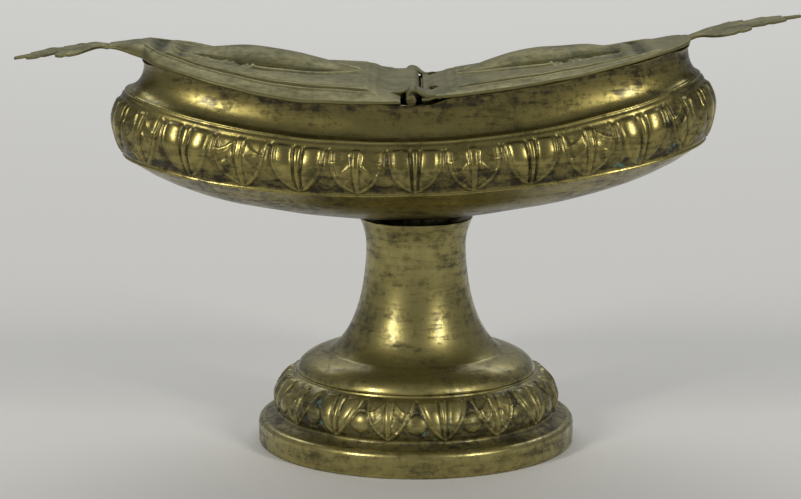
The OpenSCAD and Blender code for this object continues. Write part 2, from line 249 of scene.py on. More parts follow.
class Field:
    """A number inside a node tree, which adds and multiplies as a plain number does."""

    def __init__(self, tree, socket):
        self.tree = tree
        self.socket = socket

    def node(self, operation, *values):
        made = self.tree.nodes.new("ShaderNodeMath")
        made.operation = operation
        for slot, value in zip(made.inputs, values):
            feed(self.tree, slot, value)
        return Field(self.tree, made.outputs[0])

    def __rsub__(self, other):
        return self.node("SUBTRACT", other, self)

    def clamp(self):
        return self.most(0.0).least(1.0)

    def step(self, low, high):
        """0 below low, 1 above high, and smooth between them."""
        t = ((self - low) / (high - low)).clamp()
        return t * t * (3.0 - 2.0 * t)

    def ridge(self, half_width):
        """1 where this number is 0, falling smoothly to 0 at half_width."""
        t = (1.0 - (self / half_width) ** 2.0).most(0.0)
        return t * t


def give_field(method, operation):
    """Adds a method to Field that makes one math node, with the field as its first value."""
    setattr(Field, method, lambda field, *others: field.node(operation, field, *others))


for method, operation in {
        "__add__": "ADD", "__radd__": "ADD", "__sub__": "SUBTRACT", "__mul__": "MULTIPLY",
        "__rmul__": "MULTIPLY", "__truediv__": "DIVIDE", "__pow__": "POWER", "abs": "ABSOLUTE",
        "floor": "FLOOR", "least": "MINIMUM", "most": "MAXIMUM"}.items():
    give_field(method, operation)


def new_tree(name, kind, inputs, outputs):
    """A node group with its entry and exit. Each socket has a start value, or the name of its kind."""
    tree = bpy.data.node_groups.new(name, kind)
    for in_out, sockets in (("OUTPUT", outputs), ("INPUT", inputs)):
        for label, value in sockets.items():
            socket_kind = value if isinstance(value, str) else "Float"
            socket = tree.interface.new_socket(label, in_out=in_out, socket_type="NodeSocket" + socket_kind)
            if value != socket_kind:
                socket.default_value = value
    return tree, tree.nodes.new("NodeGroupInput"), tree.nodes.new("NodeGroupOutput")


def noise_field(tree, vector, scale, detail, roughness, twist=0.0):
    node = tree.nodes.new("ShaderNodeTexNoise")
    for label, value in (("Vector", vector), ("Scale", scale), ("Detail", detail),
                         ("Roughness", roughness), ("Distortion", twist)):
        feed(tree, node.inputs[label], value)
    return Field(tree, node.outputs["Fac"])


def stretched(tree, vector, scale):
    mapping = tree.nodes.new("ShaderNodeMapping")
    mapping.inputs["Scale"].default_value = scale
    tree.links.new(vector, mapping.inputs["Vector"])
    return mapping.outputs[0]


def finish_geometry(tree, entry, leaving, geometry):
    """Ends a Geometry Nodes tree: instances made real, and the given material set."""
    realize = tree.nodes.new("GeometryNodeRealizeInstances")
    tree.links.new(geometry, realize.inputs[0])
    paint = tree.nodes.new("GeometryNodeSetMaterial")
    tree.links.new(realize.outputs[0], paint.inputs["Geometry"])
    tree.links.new(entry.outputs["Material"], paint.inputs["Material"])
    tree.links.new(paint.outputs[0], leaving.inputs[0])


def leaf_band_tree():
    """A tree that raises a band of leaves, plain and veined by turns, from a smooth band.

    The mesh brings two numbers on each point: "around", from 0 to 1 once round the piece, and
    "band", from 0 on the leaf tips to 1 on the leaf tops.
    """
    tree, entry, leaving = new_tree(
        "leaf band", "GeometryNodeTree",
        {"Geometry": "Geometry", "Leaves": 26.0, "Turn": 0.0, "Depth": 1.0 * MM, "Balls": 0.0,
         "Pointedness": 3.0, "Unevenness": 0.03, "Seed": 3.0, "Material": "Material"},
        {"Geometry": "Geometry"})
    link = tree.links.new

    def given(name):
        return Field(tree, entry.outputs[name])

    def attribute(name):
        node = tree.nodes.new("GeometryNodeInputNamedAttribute")
        node.data_type = "FLOAT"
        node.inputs["Name"].default_value = name
        return Field(tree, node.outputs["Attribute"])

    def wander(scale, shift):
        """Slow noise from -0.5 to 0.5, different for each seed."""
        noise = tree.nodes.new("ShaderNodeTexNoise")
        noise.noise_dimensions = "4D"
        noise.inputs["Scale"].default_value = scale
        noise.inputs["Detail"].default_value = 1.0
        link((given("Seed") + shift).socket, noise.inputs["W"])
        return Field(tree, noise.outputs["Fac"]) - 0.5

    t = attribute("band") + wander(160.0, 7.0) * given("Unevenness")
    along = attribute("around") * given("Leaves") + given("Turn")
    along = along + wander(140.0, 0.0) * given("Unevenness") * 1.6
    number = (along + 0.5).floor()
    s = along - number
    half = number / 2.0
    veined = (half - half.floor()) * 2.0
    side = s.abs()

    up = t.clamp()
    width = 0.44 * (1.0 - (1.0 - up) ** given("Pointedness")) ** 0.75
    slant = 0.5 + 0.5 * up.step(0.0, 0.6)
    outside = (side - width) * slant
    inside = 1.0 - outside.step(-0.012, 0.012)
    outline = outside.ridge(0.034)
    outline_groove = (outside + 0.05).ridge(0.035)

    rib = 0.034 + 0.052 * up
    lobe = ((side - rib) / (width - rib).most(0.02)).clamp()
    lobe_rise = (1.0 - (2.0 * lobe - 1.0) ** 2.0).most(0.0) ** 0.6
    beside_rib = (side - rib).ridge(0.04)
    rib_round = (1.0 - (side / rib) ** 2.0).most(0.0) ** 0.5
    rib_edges = (side - 0.72 * rib).ridge(0.026)

    plain = 0.16 + 0.62 * lobe_rise * (0.35 + 0.65 * up.step(0.05, 0.5)) - 0.42 * beside_rib
    plain = plain + 0.52 * rib_round

    def vein(height, drop):
        """One thin vein on each side of the rib, which droops as it nears the leaf's edge."""
        line = t - height + drop * (1.0 - (1.0 - lobe) ** 2.2)
        return line.ridge(0.028) * 0.34 + (line + 0.06).ridge(0.07) * 0.12

    vein_relief = (vein(0.42, 0.22) + vein(0.68, 0.26) + vein(0.93, 0.26)) * lobe.step(0.0, 0.12)
    mottling = wander(900.0, 3.0) * 0.16
    dished = 0.2 + 0.14 * (2.0 * lobe - 1.0).abs() + vein_relief + mottling
    veiny = dished - 0.3 * beside_rib + 0.34 * rib_round + 0.2 * rib_edges

    leaf = plain + (veiny - plain) * veined - 0.16 * outline_groove

    gap = 0.5 - side
    drop_half = (0.5 - width - 0.03).most(0.012)
    drop_floor = t - 0.13 - 3.6 * gap * gap
    drop = 0.27 * (1.0 - (gap / drop_half) ** 2.0).most(0.0) ** 0.5 * drop_floor.step(0.0, 0.05)
    drop = drop + 0.22 * drop_floor.ridge(0.026) * (1.0 - gap.step(0.2, 0.24))
    ball_far = (gap * gap + ((t - 0.42) * 0.72) ** 2.0) ** 0.5
    ball = 0.7 * (1.0 - (ball_far / 0.18) ** 2.0).most(0.0) ** 0.7 - 0.08 * (ball_far - 0.2).ridge(0.03)
    between = drop + (ball - drop) * given("Balls")
    pit = ((gap * gap + ((t - 0.95) * 0.8) ** 2.0) ** 0.5).ridge(0.045)

    height = between + (leaf - between) * inside + 0.3 * outline - 0.5 * pit
    ends = t.step(-0.02, 0.03) * (1.0 - t.step(0.9, 1.0))
    height = height * ends

    normal = tree.nodes.new("GeometryNodeInputNormal")
    offset = tree.nodes.new("ShaderNodeVectorMath")
    offset.operation = "SCALE"
    link(normal.outputs["Normal"], offset.inputs[0])
    link((height * given("Depth")).socket, offset.inputs["Scale"])
    move = tree.nodes.new("GeometryNodeSetPosition")
    link(entry.outputs["Geometry"], move.inputs["Geometry"])
    link(offset.outputs[0], move.inputs["Offset"])
    store = tree.nodes.new("GeometryNodeStoreNamedAttribute")
    store.data_type = "FLOAT"
    store.domain = "POINT"
    store.inputs["Name"].default_value = "relief"
    link(move.outputs[0], store.inputs["Geometry"])
    link((height * 0.9 + 0.35 * (1.0 - ends)).clamp().socket, store.inputs["Value"])
    finish_geometry(tree, entry, leaving, store.outputs[0])
    return tree


def grow(piece, tree, **inputs):
    """Runs a Geometry Nodes tree on a piece and keeps the result as its plain mesh."""
    modifier = piece.modifiers.new("grow", "NODES")
    modifier.node_group = tree
    for item in tree.interface.items_tree:
        key = item.name.lower().replace(" ", "_")
        if item.in_out == "INPUT" and key in inputs:
            modifier[item.identifier] = inputs[key]
    graph = bpy.context.evaluated_depsgraph_get()
    made = bpy.data.meshes.new_from_object(piece.evaluated_get(graph))
    piece.modifiers.clear()
    piece.data = made
    made.polygons.foreach_set("use_smooth", [True] * len(made.polygons))
    return piece


# ---------------------------------------------------------------- finishes


def tarnish_group():
    """Cloudy brown and green tarnish: a slow cloud, a finer mottle, dark specks and level streaks."""
    tree, entry, leaving = new_tree(
        "tarnish", "ShaderNodeTree", {"Vector": "Vector", "Size": 60.0},
        {"Cloud": "Float", "Mottle": "Float", "Specks": "Float", "Streaks": "Float"})
    place_in = entry.outputs["Vector"]
    size = Field(tree, entry.outputs["Size"])
    level = stretched(tree, place_in, (0.35, 0.35, 2.2))

    def mask(name, vector, times, detail, roughness, twist, low, high):
        noise = noise_field(tree, vector, size * times, detail, roughness, twist)
        feed(tree, leaving.inputs[name], noise.step(low, high))

    mask("Cloud", place_in, 1.0, 5.0, 0.6, 0.4, 0.36, 0.66)
    mask("Mottle", place_in, 7.5, 9.0, 0.72, 0.25, 0.36, 0.66)
    mask("Specks", place_in, 12.0, 6.0, 0.75, 0.0, 0.56, 0.7)
    mask("Streaks", level, 5.0, 8.0, 0.7, 0.2, 0.38, 0.68)
    return tree


def verdigris_group():
    """Patches and crumbs of blue green corrosion, most of them in the hollows."""
    tree, entry, leaving = new_tree(
        "verdigris", "ShaderNodeTree", {"Vector": "Vector", "Hollow": 0.5, "Amount": 0.1}, {"Mask": "Float"})
    place_in = entry.outputs["Vector"]
    amount = Field(tree, entry.outputs["Amount"])
    hollow = Field(tree, entry.outputs["Hollow"])
    patches = noise_field(tree, place_in, 70.0, 3.0, 0.65)
    crumbs = noise_field(tree, place_in, 420.0, 6.0, 0.65)
    spread = patches * 0.62 + crumbs * 0.38
    edge = 0.70 - 0.28 * amount - 0.10 * hollow
    feed(tree, leaving.inputs["Mask"], spread.step(edge, edge + 0.05))
    return tree


def surface_group():
    """The fine surface of old sheet brass: hammering, wiping scratches and small pits."""
    tree, entry, leaving = new_tree(
        "worn sheet", "ShaderNodeTree",
        {"Vector": "Vector", "Hammering": 0.5, "Scratches": 0.5, "Pits": 0.5},
        {"Height": "Float", "Rubbing": "Float"})
    place_in = entry.outputs["Vector"]
    hammering = noise_field(tree, place_in, 95.0, 1.0, 0.6) * Field(tree, entry.outputs["Hammering"])
    lines = noise_field(tree, stretched(tree, place_in, (0.12, 0.12, 1.0)), 700.0, 4.0, 0.6)
    scratches = lines.step(0.55, 0.75) * Field(tree, entry.outputs["Scratches"])
    specks = noise_field(tree, place_in, 900.0, 3.0, 0.6)
    pits = specks.step(0.62, 0.74) * Field(tree, entry.outputs["Pits"])
    wiping = noise_field(tree, stretched(tree, place_in, (0.4, 0.4, 1.0)), 260.0, 5.0, 0.6)
    feed(tree, leaving.inputs["Height"], hammering - 0.05 * scratches - 0.16 * pits)
    feed(tree, leaving.inputs["Rubbing"], wiping.step(0.35, 0.7))
    return tree


TARNISH = tarnish_group()
VERDIGRIS = verdigris_group()
VERDIGRIS_COLOUR = (0.11, 0.27, 0.21)
WORN_SHEET = surface_group()


def aged_brass(name, bright, dull, dark, green, verdigris, rough, dullness, grime, scale=60.0,
               metal=1.0, pits=0.5, hammering=0.5, stains=0.9, coat=0.0):
    """Old brass: bright where hands rub it, dull between, dark in the hollows, with green crumbs.

    The mesh may bring "relief" (0 in hollows, 1 on tops), "wear" (1 on rubbed edges) and "soot"
    (1 where it is darkest: real dirt on the foot's ledge, painted shade under the bowl and below the
    lids' edges). A coat is the thin film of wax that whitens the brightest glints.
    """
    material = bpy.data.materials.new(name)
    material.use_nodes = True
    tree = material.node_tree
    nodes = tree.nodes
    link = tree.links.new
    shader = nodes["Principled BSDF"]
    place_in = nodes.new("ShaderNodeTexCoord").outputs["Object"]

    def group(source, **values):
        node = nodes.new("ShaderNodeGroup")
        node.node_tree = source
        link(place_in, node.inputs["Vector"])
        for key, value in values.items():
            feed(tree, node.inputs[key], value)
        return node

    def attribute(key):
        node = nodes.new("ShaderNodeAttribute")
        node.attribute_name = key
        return Field(tree, node.outputs["Fac"])

    def blend(first, second, amount):
        node = nodes.new("ShaderNodeMix")
        node.data_type = "RGBA"
        for side, value in (("A", first), ("B", second)):
            feed(tree, node.inputs[side], (*value, 1.0) if isinstance(value, tuple) else value)
        feed(tree, node.inputs["Factor"], amount)
        return node.outputs["Result"]

    tarnish = group(TARNISH, Size=scale)
    cloud = Field(tree, tarnish.outputs["Cloud"])
    mottle = Field(tree, tarnish.outputs["Mottle"])
    specks = Field(tree, tarnish.outputs["Specks"])
    streaks = Field(tree, tarnish.outputs["Streaks"])
    surface = group(WORN_SHEET, Hammering=hammering, Pits=pits)
    rubbing = Field(tree, surface.outputs["Rubbing"])
    relief = attribute("relief")
    wear = attribute("wear")
    # Darkening that the mesh brings: dirt on the foot, painted shade under the bowl and below the lids'
    # edges.
    dirt_and_shade = attribute("dirt_and_shade")
    hollow = (1.0 - relief * 2.6).clamp()

    cover = (cloud * 0.4 + mottle * 0.5 + streaks * 0.45) * dullness
    bare = (wear * 0.8 + relief.step(0.45, 0.95) * 0.6) * (0.35 + 0.65 * rubbing)
    dulled = (cover + 0.1 - bare).clamp()
    stain = (mottle * 0.45 + streaks * 0.45 + cloud * 0.35 - 0.45).most(0.0) * 1.25
    # Dark colour from patina in the hollows, specks and stains, plus the painted shade that the mesh brings.
    grime_and_shade = hollow * grime * (0.7 + 0.3 * mottle) + (specks * 0.5 + stain) * stains + dirt_and_shade
    grime_and_shade = (grime_and_shade - bare * 0.45).clamp()
    crumbs = Field(tree, group(VERDIGRIS, Hollow=hollow, Amount=verdigris).outputs["Mask"])
    green_film = (cloud.step(0.5, 1.0) * mottle * 0.5 * dullness).clamp()

    colour = blend(bright, dull, dulled)
    colour = blend(colour, green, green_film)
    colour = blend(colour, dark, grime_and_shade)
    colour = blend(colour, VERDIGRIS_COLOUR, crumbs * 0.6)
    link(colour, shader.inputs["Base Color"])
    feed(tree, shader.inputs["Metallic"], (metal - 0.25 * grime_and_shade - 0.9 * crumbs).clamp())
    roughness = rough + 0.16 * dulled + 0.2 * grime_and_shade + 0.3 * crumbs + 0.06 * rubbing
    feed(tree, shader.inputs["Roughness"], roughness.clamp())
    shader.inputs["Coat Weight"].default_value = coat
    shader.inputs["Coat Roughness"].default_value = 0.2
    bumps = nodes.new("ShaderNodeBump")
    bumps.inputs["Distance"].default_value = 0.35 * MM
    bumps.inputs["Strength"].default_value = 0.35
    height = Field(tree, surface.outputs["Height"]) + 0.12 * grime_and_shade + 0.3 * crumbs + 0.05 * mottle
    feed(tree, bumps.inputs["Height"], height)
    link(bumps.outputs["Normal"], shader.inputs["Normal"])
    return material


bowl_brass = aged_brass("bowl brass", bright=(0.36, 0.305, 0.10), dull=(0.18, 0.15, 0.042),
                        dark=(0.028, 0.021, 0.006), green=(0.10, 0.105, 0.035), verdigris=0.06,
                        rough=0.22, dullness=0.9, grime=0.9, stains=1.0, coat=0.35)
foot_brass = aged_brass("foot brass", bright=(0.40, 0.345, 0.125), dull=(0.20, 0.172, 0.055),
                        dark=(0.032, 0.027, 0.009), green=(0.10, 0.11, 0.04), verdigris=0.08,
                        rough=0.25, dullness=0.9, grime=0.8, metal=0.85, stains=1.0, coat=0.35)
lid_brass = aged_brass("lid brass", bright=(0.20, 0.183, 0.075), dull=(0.112, 0.106, 0.043),
                       dark=(0.026, 0.024, 0.008), green=(0.075, 0.10, 0.055), verdigris=0.0,
                       rough=0.42, dullness=0.95, grime=0.9, scale=75.0, metal=0.8, pits=0.8, stains=0.3)
pin_brass = aged_brass("pin brass", bright=(0.28, 0.24, 0.12), dull=(0.13, 0.11, 0.05),
                       dark=(0.03, 0.024, 0.01), green=(0.09, 0.10, 0.05), verdigris=0.2,
                       rough=0.42, dullness=1.0, grime=0.8, scale=200.0, pits=1.0)
inner_brass = aged_brass("inner brass", bright=(0.36, 0.29, 0.12), dull=(0.17, 0.135, 0.05),
                         dark=(0.035, 0.027, 0.01), green=(0.10, 0.11, 0.05), verdigris=0.2,
                         rough=0.34, dullness=1.0, grime=0.4, scale=120.0)
old_iron = aged_brass("old iron", bright=(0.24, 0.225, 0.21), dull=(0.10, 0.085, 0.072),
                      dark=(0.07, 0.035, 0.02), green=(0.10, 0.06, 0.04), verdigris=-0.6,
                      rough=0.42, dullness=1.0, grime=0.5, scale=140.0, metal=0.8, pits=1.0)

LEAF_BAND = leaf_band_tree()


# ---------------------------------------------------------------- bowl


def boat_outline(count):
    """Points evenly spaced round the bulge, as a unit superellipse, from the front towards +X."""
    angle = np.linspace(-math.pi / 2, 1.5 * math.pi, 7201)
    x = np.sign(np.cos(angle)) * np.abs(np.cos(angle)) ** (2 / FULLNESS)
    y = np.sign(np.sin(angle)) * np.abs(np.sin(angle)) ** (2 / FULLNESS)
    steps = np.hypot(np.diff(x) * HALF_LENGTH, np.diff(y) * HALF_WIDTH)
    run = np.concatenate([[0], np.cumsum(steps)])
    even = np.arange(count) * run[-1] / count
    return np.interp(even, run, x), np.interp(even, run, y)


def rim_rise(x, y):
    """How far the rim is dressed up to meet the undersides of the two bent lids, round the outline."""
    rise = np.zeros(len(x))
    rim_x = (HALF_LENGTH - RIM_INSET) * x
    rim_y = (HALF_WIDTH - RIM_INSET) * y
    for lid in (FIXED_LID, OPENING_LID):
        side = lid["side"]
        from_hinge = np.clip(side * (rim_x + RIM_OFFSET), HINGE_EDGE, 66 * MM)
        half = lid_half(from_hinge, lid)
        under = lid_height(from_hinge, rim_y, half, lid) - SHEET - 0.4 * MM
        room = np.clip(under - rim_line(rim_x), 0, MOST_RIM_RISE)
        past_hinge = smoothstep(2 * MM, 8 * MM, side * rim_x)
        rise += room * past_hinge * (1 - smoothstep(60 * MM, 65 * MM, side * rim_x))
    return rise


def build_bowl():
    fine = boat_outline(BOWL_LEAVES * POINTS_PER_LEAF)
    coarse = tuple(axis[::2] for axis in fine)
    rings, around, band, wear, dirt_and_shade = [], [], [], [], []
    rim_lift = rim_rise(*coarse)

    # The last number darkens the colour. On the bowl it is painted shade, under the bowl and below the lids'
    # edges.
    def keep_ring(outline_x, ring_x, ring_y, ring_z, in_band, worn, dirt_and_shade_level):
        count = len(outline_x)
        rings.append(np.column_stack([ring_x, ring_y, ring_z]))
        around.append(np.arange(count) / count)
        for numbers, value in ((band, in_band), (wear, worn), (dirt_and_shade, dirt_and_shade_level)):
            numbers.append(np.full(count, value))

    def add(outline, inset, height, sheer, shift=0.0, in_band=-1.0, worn=0.0, dirt_and_shade_level=0.0, lifted=0.0):
        x, y = outline
        top = height + sheer * x * x + (lifted * rim_lift if lifted > 0 else 0)
        keep_ring(x, (HALF_LENGTH - inset) * x + shift, (HALF_WIDTH - inset) * y, top, in_band, worn, dirt_and_shade_level)

    def add_bottom(t, wall):
        x, y = coarse
        rise = 0.6 * t + 0.4 * t ** 5.5
        top = BEAD_HEIGHT + BEAD_SHEER * x * x
        reach_x = HALF_LENGTH - BEAD_INSET - wall
        reach_y = HALF_WIDTH - BEAD_INSET - wall
        floor = wall - KEEL_DEPTH
        # Painted shade under the bowl: darkest round the keel, fading out before the bead.
        keep_ring(x, reach_x * x * t, reach_y * y * t, floor + (top - floor) * rise, -1.0,
                  0.15 if wall == 0 else 0.0, BOTTOM_SHADE * (1 - smoothstep(0.35, 0.97, t)))

    def side_point(t, wall):
        """Inset, height and sheer from the bead line (t = 0) to the shoulder (t = 1)."""
        height = mix(BEAD_HEIGHT, SHOULDER_HEIGHT, t)
        if height < BULGE_HEIGHT:
            part = (height - BEAD_HEIGHT) / (BULGE_HEIGHT - BEAD_HEIGHT)
            return BEAD_INSET * (1 - part) ** 2 + wall, height, mix(BEAD_SHEER, RIM_SHEER, part)
        part = (height - BULGE_HEIGHT) / (SHOULDER_HEIGHT - BULGE_HEIGHT)
        return SHOULDER_INSET * part ** 1.7 + wall, height, mix(RIM_SHEER, SHOULDER_SHEER, part)

    def neck_point(t, wall):
        turn = t * math.pi / 2
        rise = 1 - math.cos(turn)
        inset = mix(SHOULDER_INSET, RIM_INSET + NECK_LIP, math.sin(turn))
        height = mix(SHOULDER_HEIGHT + 0.3 * MM, RIM_HEIGHT - 0.8 * MM, rise)
        return inset + wall, height, mix(SHOULDER_SHEER, RIM_SHEER, rise), RIM_OFFSET * math.sin(turn)

    for t in np.linspace(0.06, 0.985, 15):
        add_bottom(t, 0.0)
    bead = [(-0.15, 0.0), (-0.35, 0.25), (-0.32, 0.5), (-0.05, 0.72)]
    for out, up in bead:
        inset, height, sheer = side_point(0.0, 0.0)
        add(fine, inset + out * MM, height + up * MM - 0.2 * MM, sheer, worn=0.8)
    for t in np.linspace(0.05, 0.955, BAND_ROWS):
        inset, height, sheer = side_point(t, 0.0)
        under_relief = 0.4 * MM * smoothstep(0.0, 0.1, t) * (1 - smoothstep(0.84, 0.94, t))
        add(fine, inset + under_relief, height, sheer, in_band=(t - 0.06) / 0.84, worn=0.2)
    lip = [(0.12, -0.36, 0.4), (-0.02, -0.14, 0.9), (0.03, 0.1, 1.0), (0.26, 0.25, 0.8), (0.5, 0.32, 0.4)]
    for out, up, worn in lip:
        inset, height, sheer = side_point(1.0, 0.0)
        add(coarse, inset + out * MM, height + up * MM, sheer, worn=worn)
    # Painted shade on the neck just below the lids' edges, growing darker towards the rim.
    for t in np.linspace(0.1, 1.0, 11):
        add(coarse, *neck_point(t, 0.0), worn=0.2, dirt_and_shade_level=0.5 * smoothstep(0.62, 1.0, t), lifted=t ** 3)
    # Painted shade on the rim, under the lids' edges.
    rim = [(0.08, -0.3), (0.0, -0.12), (0.12, 0.0), (0.5, 0.04), (1.1, 0.04), (1.45, -0.02), (1.6, -0.2)]
    for out, up in rim:
        add(coarse, RIM_INSET + out * MM, RIM_HEIGHT + up * MM - 0.04 * MM, RIM_SHEER, RIM_OFFSET,
            worn=0.3, dirt_and_shade_level=0.3, lifted=1.0)
    inner = WALL
    for t in np.linspace(1.0, 0.25, 4):
        add(coarse, *neck_point(t, inner), lifted=t ** 3)
    for t in np.linspace(1.0, 0.0, 7):
        add(coarse, *side_point(t, inner))
    for t in np.linspace(0.9, 0.08, 9):
        add_bottom(t, inner)

    keel = (0, 0, -KEEL_DEPTH)
    floor = (0, 0, WALL - KEEL_DEPTH)
    points, faces = ringed_mesh(rings, first_pole=keel, last_pole=floor)
    values = {
        "around": np.concatenate(around + [[0, 0]]),
        "band": np.concatenate(band + [[-1, -1]]),
        "wear": np.concatenate(wear + [[0, 0]]),
        # The two poles take the painted shade under the bowl too.
        "dirt_and_shade": np.concatenate(dirt_and_shade + [[BOTTOM_SHADE, BOTTOM_SHADE]]),
    }
    points[:, 2] += 0.16 * MM * unevenness(points, 38 * MM, 4)
    points[:, 1] += 0.14 * MM * unevenness(points, 30 * MM, 5)
    piece = make_object("bowl_shell", lean_with_bowl(points), faces, values)
    grow(piece, LEAF_BAND, leaves=float(BOWL_LEAVES), turn=0.0, depth=RELIEF_DEPTH,
         balls=0.0, pointedness=3.0, unevenness=0.03, seed=3.0, material=bowl_brass)
    return place(piece, VESSEL, "bowl")


def build_bowl_boss():
    """The turned boss under the bowl's floor, with the pad that the bolt's washer sits on."""
    low, high = COLLAR_HEIGHT - 4 * MM, COLLAR_HEIGHT + 2.2 * MM
    profile = [(3.25, 0.0), (8.2, 0.0), (8.5, 0.3), (8.5, 5.8), (8.2, 6.2), (3.25, 6.2)]
    profile = [(r * MM, low + z * MM) for r, z in profile]
    profile[-1] = (profile[-1][0], high)
    points, faces = lathe(profile, 96)
    piece = make_object("bowl_boss", points, faces, {"wear": np.full(len(points), 0.2)}, inner_brass)
    return place(piece, VESSEL, "bowl")


# ---------------------------------------------------------------- lids


def rim_line(x):
    return RIM_HEIGHT + RIM_SHEER * (x / (HALF_LENGTH - RIM_INSET)) ** 2


def rim_half(x):
    share = np.clip(np.abs(x) / (HALF_LENGTH - RIM_INSET), 0, 1)
    return (HALF_WIDTH - RIM_INSET) * (1 - share ** FULLNESS) ** (1 / FULLNESS)


# The leaf's edge as (share of its length, share of its half width), and where its rows start on the rib.
LEAF_EDGE = [(0, 0.25), (0.05, 0.36), (0.13, 0.70), (0.22, 0.93), (0.33, 1.0), (0.43, 0.93), (0.49, 0.74),
             (0.43, 0.40), (0.52, 0.50), (0.64, 0.60), (0.76, 0.54), (0.84, 0.38), (0.78, 0.17), (0.87, 0.15),
             (0.96, 0.09), (1.0, 0.03)]
LEAF_RIB = [0, 0.04, 0.1, 0.17, 0.24, 0.31, 0.38, 0.44, 0.51, 0.6, 0.69, 0.77, 0.83, 0.9, 0.96, 0.99]

# Each lid's shape along its length, as (distance from the hinge, value) in millimetres. The line is
# where its middle runs past the rim's end. The others add up on it: the edge, the roll of the whole
# lid about its length, the crown between its edges, the cushion's top, and the cushion's half width.
# Where a lid's end faces the other lid's knuckle, it is cut back and seated low, to clear it in opening.
FIXED_LID = {
    "side": 1, "shift": RIM_OFFSET, "waist": 69.1 * MM, "leaf": 25.3 * MM, "border": 4.0 * MM, "seed": 11,
    "droop": 0.1 * MM, "cut": 0.45 * MM, "seat": 0.05 * MM, "bars": [33.6 * MM, 38.2 * MM],
    "line": along_curve([(62, 40.43), (66, 41.7), (69.1, 42.75), (72, 43.35), (75, 43.9), (82, 45.2),
                         (88, 46.0), (95, 46.75)]),
    "edge": along_curve([(0, 0.1), (9, 0.3), (15, 0.5), (20, 0.65), (26, 0.9), (32, 1.05), (44, 1.1),
                         (56, 0.9), (62, 0.6), (66, 0.2), (69, 0), (100, 0)]),
    "roll": along_curve([(0, -0.9), (15, -0.8), (30, -0.55), (56, -0.45), (66, -0.2), (69, 0), (100, 0)]),
    "crown": along_curve([(0, 0.6), (5, 0.9), (8, 1.4), (10, 2.0), (15, 2.4), (22, 2.5), (30, 2.1), (40, 1.5),
                          (50, 0.8), (60, 0.3), (69, 0), (100, 0)]),
    "top": along_curve([(9, 1), (12, 2.6), (15, 3.75), (18, 4.8), (21.4, 5.6), (24.4, 6.1), (27.5, 6.35),
                        (30.4, 6.35), (33.6, 6.1), (39.7, 5.4), (43.3, 4.8), (47, 3.7), (50.6, 2.4),
                        (56, 0.5), (100, 0)]),
    "cushion": along_curve([(9, 0), (12, 2.6), (17, 6.2), (24, 8.4), (30, 8.8), (36, 8.2), (43, 6.0),
                            (50, 2.6), (54, 0), (100, 0)]),
}
OPENING_LID = {
    "side": -1, "shift": -RIM_OFFSET, "waist": 74.9 * MM, "leaf": 21.6 * MM, "border": 5.0 * MM, "seed": 12,
    "droop": 0.5 * MM, "cut": 0.85 * MM, "seat": 0.15 * MM, "bars": [38.4 * MM, 43.2 * MM],
    "line": along_curve([(62, 40.97), (66, 42.05), (70, 43.1), (73, 43.95), (75, 44.35), (77.5, 44.3),
                         (80.4, 43.95), (85.3, 43.4), (90.2, 42.8), (97, 41.75)]),
    "edge": along_curve([(0, 0.5), (11, 0.4), (17, 0.25), (26, -0.1), (31, -0.05), (38, 0.15),
                         (44, 0.45), (50, 0.7), (55, 1.1), (61, 1.0), (66, 0.95), (70, 0.8), (73, 0.35),
                         (75, 0), (100, 0)]),
    "roll": along_curve([(0, 0.3), (15, 0.6), (55, 0.6), (66, 0.3), (73, 0), (100, 0)]),
    "crown": along_curve([(0, 0.9), (5, 1.2), (8, 2.0), (10, 2.9), (14, 3.3), (20, 3.7), (28, 3.9),
                          (37, 3.7), (44, 3.5), (51, 2.9), (61, 2.5), (66, 1.9), (70, 0.9), (73, 0.2),
                          (75, 0), (100, 0)]),
    "top": along_curve([(10, 1.6), (13.7, 3.4), (16.2, 4.2), (18.6, 5.1), (22.3, 6.0), (27.1, 6.8),
                        (31.9, 7.3), (35.5, 7.4), (39.2, 7.15), (42.8, 6.6), (46.4, 5.8), (50.1, 4.8),
                        (56, 2.6), (62, 0.5), (100, 0)]),
    "cushion": along_curve([(12, 0), (14.5, 2.6), (20, 6.8), (27, 8.6), (37, 9.1), (43, 8.2), (51, 5.2),
                            (57, 2.2), (61, 0), (100, 0)]),
}
PANEL_START = 9.2 * MM
REED = 3.1 * MM
ARCH = 4.2 * MM


def lid_half(x, lid):
    """Half width of a lid, x from the hinge: it follows the rim, then tapers in to the waist."""
    to_waist = np.maximum(lid["waist"] - x, 0) / TAPER
    taper = np.where(to_waist < 1, WAIST_HALF + 0.7 * TAPER * to_waist ** 1.6, WAIST_HALF)
    return np.maximum(rim_half(x - lid["shift"]) + OVERHANG, taper)


def lid_layout(rows, lid):
    """Where each row of a lid starts on its middle line and ends on its edge, as x and half width."""
    middle = np.linspace(HINGE_EDGE, lid["waist"], rows)
    leaf = through([(e[0], e[1], r) for e, r in zip(LEAF_EDGE, LEAF_RIB)], 6)[1:]
    edge_x = np.concatenate([middle, lid["waist"] + leaf[:, 0] * lid["leaf"]])
    half = np.concatenate([lid_half(middle, lid), leaf[:, 1] * LEAF_HALF])
    middle_x = np.concatenate([middle, lid["waist"] + leaf[:, 2] * lid["leaf"]])
    return middle_x, edge_x, half


def lid_height(x, y, half, lid):
    """Height of the lid's top without its fine embossing, x from the hinge."""
    v = np.clip(y / half, -1, 1)
    flat = rim_line(x - lid["shift"]) + LID_CLEARANCE + SHEET
    past = smoothstep(61 * MM, 63 * MM, x)
    base = mix(flat, lid["line"](x), past)
    height = base + lid["edge"](x) + lid["roll"](x) * v + lid["crown"](x) * (1 - v ** 4)
    cushion = np.maximum(lid["cushion"](x), 0.01 * MM)
    rise = np.clip(flat + lid["top"](x) - height, 0, 1)
    within = np.clip(1 - (np.abs(y) / cushion) ** 2, 0, 1)
    return height + rise * within ** 0.85 * (x > PANEL_START) * (x < lid["waist"] - 10 * MM)


